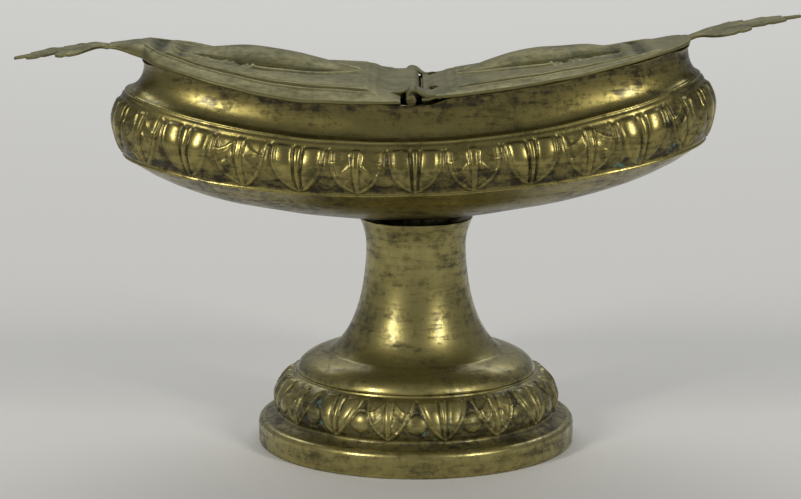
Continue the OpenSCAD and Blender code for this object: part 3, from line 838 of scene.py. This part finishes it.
def lid_relief(x, y, half, lid):
    """The fine embossing in metres, and how far it stands out of the dirt, from 0 to 1."""
    from_edge = half - np.abs(y)
    inner = np.minimum(from_edge - lid["border"], (x - PANEL_START) * 0.9)
    inner = np.minimum(inner, (lid["waist"] - 13 * MM - x) * 0.35)
    line = 0.3 * MM * bump(inner + 0.6 * MM, 0.8 * MM) - 0.5 * MM * bump(inner - 0.4 * MM, 0.9 * MM)
    line += 0.28 * MM * bump(inner - 1.5 * MM, 0.7 * MM) - 0.34 * MM * bump(inner - 2.4 * MM, 0.8 * MM)
    across_end = smoothstep(-0.4 * MM, 0.8 * MM, from_edge - lid["border"] - (x - PANEL_START) * 0.9)
    relief = line * (1 - 0.7 * across_end)

    cushion = lid["cushion"](x)
    foot = np.abs(y) - cushion
    on_field = smoothstep(0.0, 1.2 * MM, cushion) * smoothstep(0.0, 1.0 * MM, inner - 0.5 * MM)
    low_bar, high_bar = lid["bars"]
    reeded = (1 - smoothstep(low_bar - 0.4 * MM, low_bar + 0.2 * MM, x)) * on_field
    reed = 0.38 * MM * bump(foot - 0.5 * REED, 0.5 * REED) - 0.5 * MM * bump(foot, 0.85 * MM)
    reed = reed - 0.45 * MM * bump(foot - REED, 0.8 * MM)
    relief = relief + reed * reeded
    beyond = (1 - reeded) * on_field
    relief = relief - 0.42 * MM * bump(foot, 0.7 * MM) * beyond
    in_strip = smoothstep(-0.3 * MM, 0.3 * MM, foot)
    in_strip = in_strip * (1 - smoothstep(REED + 0.8 * MM, REED + 1.3 * MM, foot))
    for bar in lid["bars"]:
        for shift in (-0.75, 0.75):
            bar_line = bump(x - bar - shift * MM - 0.3 * foot, 0.62 * MM)
            relief = relief + 0.5 * MM * bar_line * in_strip * on_field
    between = bump((x - 0.5 * (low_bar + high_bar)) / (high_bar - low_bar), 0.36)
    dark_box = between * bump(foot - 0.5 * REED, 0.6 * REED) * on_field
    relief = relief - 0.45 * MM * dark_box
    run = x - high_bar - 1.6 * MM
    arch = np.mod(run, ARCH) / ARCH
    arch_line = np.abs(foot - REED * 1.15 * np.sqrt(np.clip(1 - (2 * arch - 1) ** 2, 0, 1)))
    arches = bump(arch_line, 0.55 * MM) * (run > 0) * (run < 3 * ARCH)
    arches = arches * smoothstep(-0.4 * MM, 0.2 * MM, foot)
    relief = relief + 0.36 * MM * arches * on_field
    corner = np.hypot(x - PANEL_START + 0.2 * MM, y * 0.16)
    relief = relief + 0.14 * MM * bump(corner, 2.4 * MM)
    return relief, np.clip(0.5 + relief / (0.85 * MM), 0, 1)


def leaf_relief(share, across):
    """The leaf's midrib and side veins, in metres, from its start (0) to its tip (1)."""
    rib = 0.3 * MM * bump(across, 0.14) * (1 - 0.6 * share)
    vein = sum(bump(share - start - 0.2 * np.abs(across), 0.04) for start in (0.16, 0.46))
    puff = 0.35 * MM * np.sin(np.clip(np.abs(across), 0, 1) * math.pi) * (1 - share)
    return rib + 0.2 * MM * vein + puff


def build_lid(name, node, body, lid):
    across = LID_COLUMNS
    middle_x, edge_x, half = lid_layout(LID_ROWS, lid)
    v = np.linspace(-1, 1, across)
    v = np.sign(v) * (1 - (1 - np.abs(v)) ** 1.06)
    weight = np.abs(v)[None, :] ** 1.5
    x = middle_x[:, None] * (1 - weight) + edge_x[:, None] * weight
    y = half[:, None] * v[None, :]
    corners = smoothstep(KNUCKLE_HALF - 0.4 * MM, KNUCKLE_HALF + 0.3 * MM, np.abs(y))
    past_knuckle = smoothstep(KNUCKLE_HALF + 0.2 * MM, KNUCKLE_HALF + 0.7 * MM, np.abs(y))
    facing = corners if lid["side"] < 0 else 1 - past_knuckle
    x = x + lid["cut"] * facing * (1 - smoothstep(HINGE_EDGE, 9 * MM, x))
    halves = np.broadcast_to(half[:, None], x.shape)
    share = np.clip((x - lid["waist"]) / lid["leaf"], 0, 1.2)
    on_leaf = smoothstep(-5 * MM, 4 * MM, x - lid["waist"])
    relief, tops = lid_relief(x, y, halves, lid)
    height = lid_height(x, y, halves, lid) + relief * (1 - on_leaf)
    droop = lid["droop"] * (np.abs(y) / LEAF_HALF) ** 2
    height += on_leaf * (leaf_relief(share, v[None, :] + 0 * x) - droop)
    under_knuckle = corners if lid["side"] > 0 else 1 - corners
    height -= 0.4 * MM * under_knuckle * (1 - smoothstep(3.4 * MM, 5.4 * MM, x))
    thick = SHEET * (1 - 0.2 * on_leaf)
    tops = np.clip(tops * (1 - on_leaf) + on_leaf * (0.6 - 0.25 * np.abs(v[None, :])), 0, 1)

    flat = np.column_stack([x.ravel(), y.ravel(), height.ravel()])
    wave = unevenness(flat, 26 * MM, lid["seed"]).reshape(x.shape)
    height += 0.2 * MM * wave * smoothstep(4 * MM, 22 * MM, x)
    nought = np.zeros(3)
    rounding = np.array([0.18, 0.3, 0.18]) * MM
    depths = np.array([0.25, 0.5, 0.75])
    low = np.minimum(height, HINGE_HEIGHT + lid["seat"])
    height = mix(height, low, facing * (1 - smoothstep(2.7 * MM, 5.4 * MM, x)))
    loops, wears, reliefs = [], [], []
    for i in range(len(middle_x)):
        top = np.column_stack([x[i], y[i], height[i]])
        under = top[::-1] - np.array([0, 0, 1]) * thick[i][::-1, None]
        right = top[-1] + np.column_stack([nought, rounding, -depths * thick[i, -1]])
        left = top[0] - np.column_stack([nought, rounding, depths[::-1] * thick[i, 0]])
        loops.append(np.vstack([top, right, under, left]))
        wears.append(np.concatenate([0.15 + 0.6 * smoothstep(0.93, 1.0, np.abs(v)), np.full(3, 0.8),
                                     np.zeros(across), np.full(3, 0.8)]))
        reliefs.append(np.concatenate([tops[i], np.full(3, 0.6), np.full(across, 0.3), np.full(3, 0.6)]))
    points, faces = ringed_mesh(loops)
    last = (len(loops) - 1) * len(loops[0])
    tail = 2 * across + 2
    cap = [(j, j + 1, tail - j - 1, tail - j) for j in range(across - 1)]
    cap += [tuple(range(across - 1, across + 4)), (tail, tail + 1, tail + 2, tail + 3, 0)]
    faces += cap + [tuple(last + k for k in face[::-1]) for face in cap]
    if lid["side"] > 0:
        faces = [face[::-1] for face in faces]
    points[:, 0] *= lid["side"]
    values = {"wear": np.concatenate(wears), "relief": np.concatenate(reliefs)}
    piece = make_object(name, lean_with_bowl(points), faces, values, lid_brass)
    return place(piece, body, node)


def build_knuckle(name, node, body, lid, start, end, curl_from, curl_to, lift, arch):
    """A knuckle rolled from the lid's sheet: the sheet comes in over the pin and curls round it.

    It runs along the pin from start to end, and round it from one angle to the other, in degrees. The
    arch stands the roll off the pin, and lift raises or lowers the whole roll.
    """
    gauge = KNUCKLE_GAUGE
    roll = KNUCKLE_RADIUS - gauge / 2 - 0.05 * MM
    angle = np.radians(np.linspace(curl_from, curl_to, 34))
    curl = np.column_stack([roll * np.cos(angle), (roll + arch) * np.sin(angle) + lift])
    lead_x = np.array([6.4, 5.6, 4.8, 4.0, 3.3, 2.7, 2.1, 1.5, 1.0]) * MM
    count = max(8, int((end - start) / (1.2 * MM)))
    loops = []
    for k, y in enumerate(np.linspace(start, end, count)):
        half = lid_half(lead_x, lid)
        sheet = lid_height(lead_x, np.full(len(lead_x), y), half, lid) - gauge / 2 - HINGE_HEIGHT
        sheet += 0.06 * MM - 0.4 * MM * smoothstep(5.0 * MM, 6.4 * MM, lead_x)
        over_pin = curl[0, 1] + 0.1 * MM * (1 - (lead_x / MM - 1) / 5)
        lead = np.column_stack([lead_x, mix(over_pin, sheet, smoothstep(0.3 * MM, 3.6 * MM, lead_x))])
        path = np.vstack([lead, curl])
        tangent = np.gradient(path, axis=0)
        tangent /= np.linalg.norm(tangent, axis=1)[:, None]
        across = np.column_stack([-tangent[:, 1], tangent[:, 0]])
        outline = np.vstack([path - across * gauge / 2, (path + across * gauge / 2)[::-1]])
        swell = 0.05 * MM * math.sin(k * 0.9 + 1)
        loops.append(np.column_stack([outline[:, 0], np.full(len(outline), y), outline[:, 1] + swell]))
    points, faces = ringed_mesh(loops)
    n = len(loops[0])
    last = (count - 1) * n
    for j in range(n // 2 - 1):
        a, b, c, d = j, j + 1, n - 2 - j, n - 1 - j
        faces.append((a, b, c, d)[::-1])
        faces.append((last + a, last + b, last + c, last + d))
    points[:, 0] *= lid["side"]
    points[:, 2] += HINGE_HEIGHT
    if lid["side"] > 0:
        faces = [face[::-1] for face in faces]
    values = {"wear": np.full(len(points), 0.3), "relief": np.full(len(points), 0.5)}
    piece = make_object(name, lean_with_bowl(points), faces, values, lid_brass)
    return place(piece, body, node)


def build_pin():
    """The hinge pin: a wire, a little bent past the knuckle, with both ends beaten upright."""
    reach = EAR_END + 0.7 * MM
    ends = [(0.0, 0.0), (0.55, 0.0), (0.85, 0.12), (1.0, 0.4), (0.98, 1.0), (PIN_RADIUS, 1.8)]
    profile = [(r, d * MM - reach) for r, d in ends] + [(PIN_RADIUS, y * MM) for y in range(-26, 27, 2)]
    profile += [(r, reach - d * MM) for r, d in ends[::-1]]
    around = 28
    angle = np.arange(around) * 2 * math.pi / around
    rings = []
    for r, y in profile[1:-1]:
        beaten = smoothstep(EAR_END - 2.5 * MM, EAR_END, abs(y))
        wide, tall = r * mix(1.0, 1.2, beaten), r * mix(1.0, 1.5, beaten)
        rings.append(np.column_stack([
            wide * MM * np.cos(angle), np.full(around, y), tall * MM * np.sin(angle)]))
    points, faces = ringed_mesh(rings, first_pole=(0, -reach, 0), last_pole=(0, reach, 0))
    faces = [face[::-1] for face in faces]
    past = smoothstep(KNUCKLE_HALF, EAR_END, np.abs(points[:, 1]))
    rough = unevenness(points, 1.6 * MM, 21) * 0.2 * MM
    rough *= smoothstep(EAR_END - MM, EAR_END, np.abs(points[:, 1]))
    points[:, 0] += rough - 0.45 * MM * past * (points[:, 1] < 0)
    points[:, 2] += HINGE_HEIGHT + rough + past * np.where(points[:, 1] < 0, 0.1, -0.4) * MM
    values = {"wear": np.full(len(points), 0.3), "relief": np.full(len(points), 0.4)}
    piece = make_object("hinge_wire", lean_with_bowl(points), faces, values, pin_brass)
    return place(piece, VESSEL, "hinge_pin")


# ---------------------------------------------------------------- foot


def build_foot_base():
    """The plinth and its leafy band, turned in one piece, with the band's leaves raised on it."""
    corner = [(PLINTH_RADIUS - PLINTH_ROUNDING * (1 - math.cos(a)),
               PLINTH_HEIGHT - PLINTH_ROUNDING * (1 - math.sin(a))) for a in np.linspace(0, math.pi / 2, 8)]
    root = BAND_RADIUS - 1.3 * MM
    top = BAND_TOP_RADIUS
    band_curve = bezier((root, PLINTH_HEIGHT + 1.6 * MM), (BAND_RADIUS + 0.1 * MM, PLINTH_HEIGHT + 4.5 * MM),
                        (BAND_RADIUS - 0.3 * MM, BAND_HEIGHT - 3.5 * MM),
                        (top + 0.6 * MM, BAND_HEIGHT - 0.6 * MM), 46)
    outer = [(PLINTH_RADIUS - 0.5 * MM, 0.0), (PLINTH_RADIUS - 0.12 * MM, 0.14 * MM),
             (PLINTH_RADIUS, 0.5 * MM)]
    outer += [(PLINTH_RADIUS, z * MM) for z in (1.6, 2.8, 3.9)] + corner
    outer += [(BAND_RADIUS + 1.8 * MM, PLINTH_HEIGHT + 0.02 * MM),
              (BAND_RADIUS + 0.8 * MM, PLINTH_HEIGHT + 0.15 * MM),
              (BAND_RADIUS + 0.1 * MM, PLINTH_HEIGHT + 0.5 * MM), (root + 0.2 * MM, PLINTH_HEIGHT + 1.0 * MM)]
    plain = len(outer)
    outer += [tuple(p) for p in band_curve]
    banded = len(outer)
    outer += [(top + 0.12 * MM, BAND_HEIGHT - 0.5 * MM), (top, BAND_HEIGHT - 0.32 * MM),
              (top, BAND_HEIGHT - 0.1 * MM), (top - 0.14 * MM, BAND_HEIGHT)]
    inner = [(23.7, BAND_HEIGHT / MM), (23.7, BAND_HEIGHT / MM - 1.8), (28, 16.0), (32, 14.8), (33.7, 12),
             (33.5, 9), (32.8, 5.8), (36.3, 4.4), (37.3, 3.4), (37.3, 0.0)]
    profile = outer + [(r * MM, z * MM) for r, z in inner]
    worn = np.full(len(profile), 0.2)
    worn[1:3] = 0.6
    worn[6:14] = 0.9
    worn[plain - 4:plain] = 0.0
    worn[banded:banded + 4] = 1.0
    worn[banded + 4:] = 0.0
    in_band = np.full(len(profile), -1.0)
    in_band[plain:banded] = np.linspace(-0.03, 1.0, banded - plain)
    around = FOOT_LEAVES * POINTS_PER_FOOT_LEAF
    points, faces = lathe(profile, around)
    fraction = np.tile(np.arange(around) / around, len(profile))
    dirt_and_shade_level = np.zeros(len(profile))
    dirt_and_shade_level[14:plain] = 0.4
    dirt_and_shade_level[13] = 0.15
    values = {"around": fraction, "band": np.repeat(in_band, around), "wear": np.repeat(worn, around),
              "dirt_and_shade": np.repeat(dirt_and_shade_level, around)}
    points[:, 2] += 0.05 * MM * unevenness(points, 30 * MM, 8) * (points[:, 2] > 1.0 * MM)
    piece = make_object("base_shell", points, faces, values)
    grow(piece, LEAF_BAND, leaves=float(FOOT_LEAVES), turn=-0.5, depth=FOOT_RELIEF_DEPTH,
         balls=1.0, pointedness=1.5, unevenness=0.03, seed=9.0, material=foot_brass)
    return place(piece, VESSEL, "foot_base")


def build_stem():
    """The spun trumpet, with an open collar whose lip isn't quite round any more."""
    foot = 29.5
    waist = 12.25
    profile = [(23.5, 16.0), (23.5, 17.8), (foot - 0.3, 17.8), (foot, 17.95), (foot, 18.3)]
    profile += [*bezier((foot - 0.1, 18.5), (foot - 1, 20.8), (foot - 4.6, 22.2), (21.45, 22.75), 14)]
    profile += [*bezier((21.2, 22.95), (waist + 3.7, 26.4), (waist + 0.3, 35.8), (waist, 48.0), 26)]
    profile += [*bezier((waist, 48.5), (waist, 51.5), (12.9, 53.5), (13.85, 55.7), 12)]
    profile += [(13.9, 55.9), (13.75, 56.0), (12.9, 56.0), (12.55, 55.9)]
    profile += [*bezier((12.4, 55.7), (11.7, 54.5), (10.5, 52.6), (8.75, 52.0), 8)]
    profile += [(3.25, 52.0), (3.25, 38.0), (10.0, 38.0)]
    profile += [*bezier((10.05, 37.5), (11.05, 29.8), (17.5, 21.8), (21.3, 18.3), 10)]
    profile += [(21.3, 16.0)]
    points, faces = lathe(np.array(profile) * MM, 192)
    heights = points[:, 2]
    edge = smoothstep(54.5 * MM, 56 * MM, heights) * (np.hypot(points[:, 0], points[:, 1]) > 12 * MM)
    ring = smoothstep(17.7 * MM, 18.1 * MM, heights) * (1 - smoothstep(18.4 * MM, 19.2 * MM, heights))
    outside = np.hypot(points[:, 0], points[:, 1]) > 11.8 * MM
    soft = unevenness(points, 24 * MM, 31)
    out = points.copy()
    out[:, :2] *= (1 + 0.004 * soft * smoothstep(19 * MM, 26 * MM, heights))[:, None]
    out[:, 2] += edge * 0.12 * MM * (unevenness(points, 9 * MM, 33) - 0.9)
    values = {"wear": np.clip(0.28 * outside + edge + ring, 0, 1), "relief": np.full(len(points), 0.5)}
    piece = make_object("trumpet", out, faces, values, foot_brass)
    return place(piece, VESSEL, "stem")


def rivet_tree():
    """A tree that puts a domed rivet head on each point of a mesh, its flat side on the point."""
    tree, entry, leaving = new_tree(
        "rivet heads", "GeometryNodeTree",
        {"Geometry": "Geometry", "Radius": RIVET_RADIUS, "Rise": RIVET_RISE, "Tilt": 0.0,
         "Material": "Material"},
        {"Geometry": "Geometry"})
    link = tree.links.new
    head = tree.nodes.new("GeometryNodeMeshUVSphere")
    head.inputs["Segments"].default_value = 24
    head.inputs["Rings"].default_value = 14
    head.inputs["Radius"].default_value = 1.0
    shape = tree.nodes.new("ShaderNodeCombineXYZ")
    for axis, name in zip("XYZ", ("Radius", "Radius", "Rise")):
        link(entry.outputs[name], shape.inputs[axis])
    turn = tree.nodes.new("ShaderNodeCombineXYZ")
    link(entry.outputs["Tilt"], turn.inputs["Y"])
    smooth = tree.nodes.new("GeometryNodeSetShadeSmooth")
    link(head.outputs["Mesh"], smooth.inputs["Geometry"])
    heads = tree.nodes.new("GeometryNodeInstanceOnPoints")
    link(entry.outputs["Geometry"], heads.inputs["Points"])
    link(smooth.outputs[0], heads.inputs["Instance"])
    link(turn.outputs[0], heads.inputs["Rotation"])
    link(shape.outputs[0], heads.inputs["Scale"])
    finish_geometry(tree, entry, leaving, heads.outputs[0])
    return tree


def build_rivets():
    """Two rivets through the fixed lid and the bar under it: a low dome above, a flat one below."""
    centre = HINGE_EDGE + 3 * MM
    half = lid_half(np.array([centre]), FIXED_LID)
    under = RIM_HEIGHT + LID_CLEARANCE - BAR_THICKNESS
    spots = []
    for y in (-RIVET_OFFSET, RIVET_OFFSET):
        top = lid_height(np.array([centre]), np.array([y]), half, FIXED_LID)[0]
        spots += [(centre, y, top - 0.05 * MM), (centre, y, under)]
    piece = make_object("rivet_heads", lean_with_bowl(spots), [])
    grow(piece, rivet_tree(), radius=RIVET_RADIUS, rise=RIVET_RISE, tilt=-LEAN, material=pin_brass)
    return place(piece, VESSEL, "lid_rivets")


# ---------------------------------------------------------------- all pieces

build_bowl()
build_bowl_boss()
build_lid("fixed_lid_sheet", "fixed_lid", VESSEL, FIXED_LID)
build_lid("opening_lid_sheet", "opening_lid", LID, OPENING_LID)
build_knuckle("front_ear", "fixed_lid", VESSEL, FIXED_LID, -EAR_END, -EAR_START,
              70, 172, 0.1 * MM, 0.8 * MM)
build_knuckle("rear_ear", "fixed_lid", VESSEL, FIXED_LID, EAR_START, EAR_END,
              70, 300, -0.4 * MM, 0.0)
build_knuckle("middle_knuckle", "opening_lid", LID, OPENING_LID, -KNUCKLE_HALF, KNUCKLE_HALF,
              70, 385, 0.0, 0.0)
build_pin()
build_rivets()
build_foot_base()
build_stem()
for node, finish in (("cross_bar", inner_brass), ("clamp_bolt", inner_brass), ("head_washer", inner_brass),
                     ("clamp_plate", old_iron), ("nut_washer", old_iron), ("clamp_nut", old_iron)):
    plain_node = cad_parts[node]
    plain_node.data.materials.clear()
    plain_node.data.materials.append(finish)

# ---------------------------------------------------------------- stage, light and camera


def build_stage():
    floor = make_object("floor", [(-3, -3, 0), (3, -3, 0), (3, 3, 0), (-3, 3, 0)], [(0, 1, 2, 3)])
    cloth = bpy.data.materials.new("pale floor")
    cloth.use_nodes = True
    shader = cloth.node_tree.nodes["Principled BSDF"]
    shader.inputs["Base Color"].default_value = (0.67, 0.665, 0.64, 1)
    shader.inputs["Roughness"].default_value = 0.9
    shader.inputs["Specular IOR Level"].default_value = 0.2
    floor.data.materials.append(cloth)


def area_light(name, spot, target, size, power, colour=(1, 1, 1)):
    light = bpy.data.lights.new(name, "AREA")
    light.shape = "RECTANGLE"
    light.size, light.size_y = size
    light.energy = power
    light.color = colour
    lamp = bpy.data.objects.new(name, light)
    bpy.context.scene.collection.objects.link(lamp)
    lamp.location = spot
    lamp.rotation_euler = (Vector(target) - Vector(spot)).to_track_quat("-Z", "Y").to_euler()


def around_object(azimuth, elevation, distance):
    """A place seen from the object, in degrees: azimuth 0 is the front, 90 is +X."""
    a, e = math.radians(azimuth), math.radians(elevation)
    return (distance * math.sin(a) * math.cos(e), -distance * math.cos(a) * math.cos(e),
            0.06 + distance * math.sin(e))


build_stage()
MIDDLE = (0, 0, 0.06)
WARM = (1, 0.96, 0.86)
for side, azimuth, power in (("left", -46, 7.5), ("right", 46, 6.5)):
    area_light(side + " lamp", around_object(azimuth, 30, 1.5), MIDDLE, (0.12, 0.55), power, WARM)
area_light("sky panel", (0.0, 1.35, 1.6), (0.0, 1.35, 0.0), (2.6, 1.4), 26)
world = bpy.data.worlds.new("room")
world.use_nodes = True
world.node_tree.nodes["Background"].inputs["Color"].default_value = (0.9, 0.93, 1.0, 1)
world.node_tree.nodes["Background"].inputs["Strength"].default_value = 0.23
bpy.context.scene.world = world

lens = bpy.data.cameras.new("camera")
lens.sensor_width = 36.0
lens.lens = 112.36
eye = bpy.data.objects.new("camera", lens)
bpy.context.scene.collection.objects.link(eye)
eye.location = (-0.003825, -0.6049, 0.1640)
eye.rotation_euler = (math.radians(79.1), 0, 0)
bpy.context.scene.camera = eye
bpy.context.scene.view_settings.view_transform = "Standard"
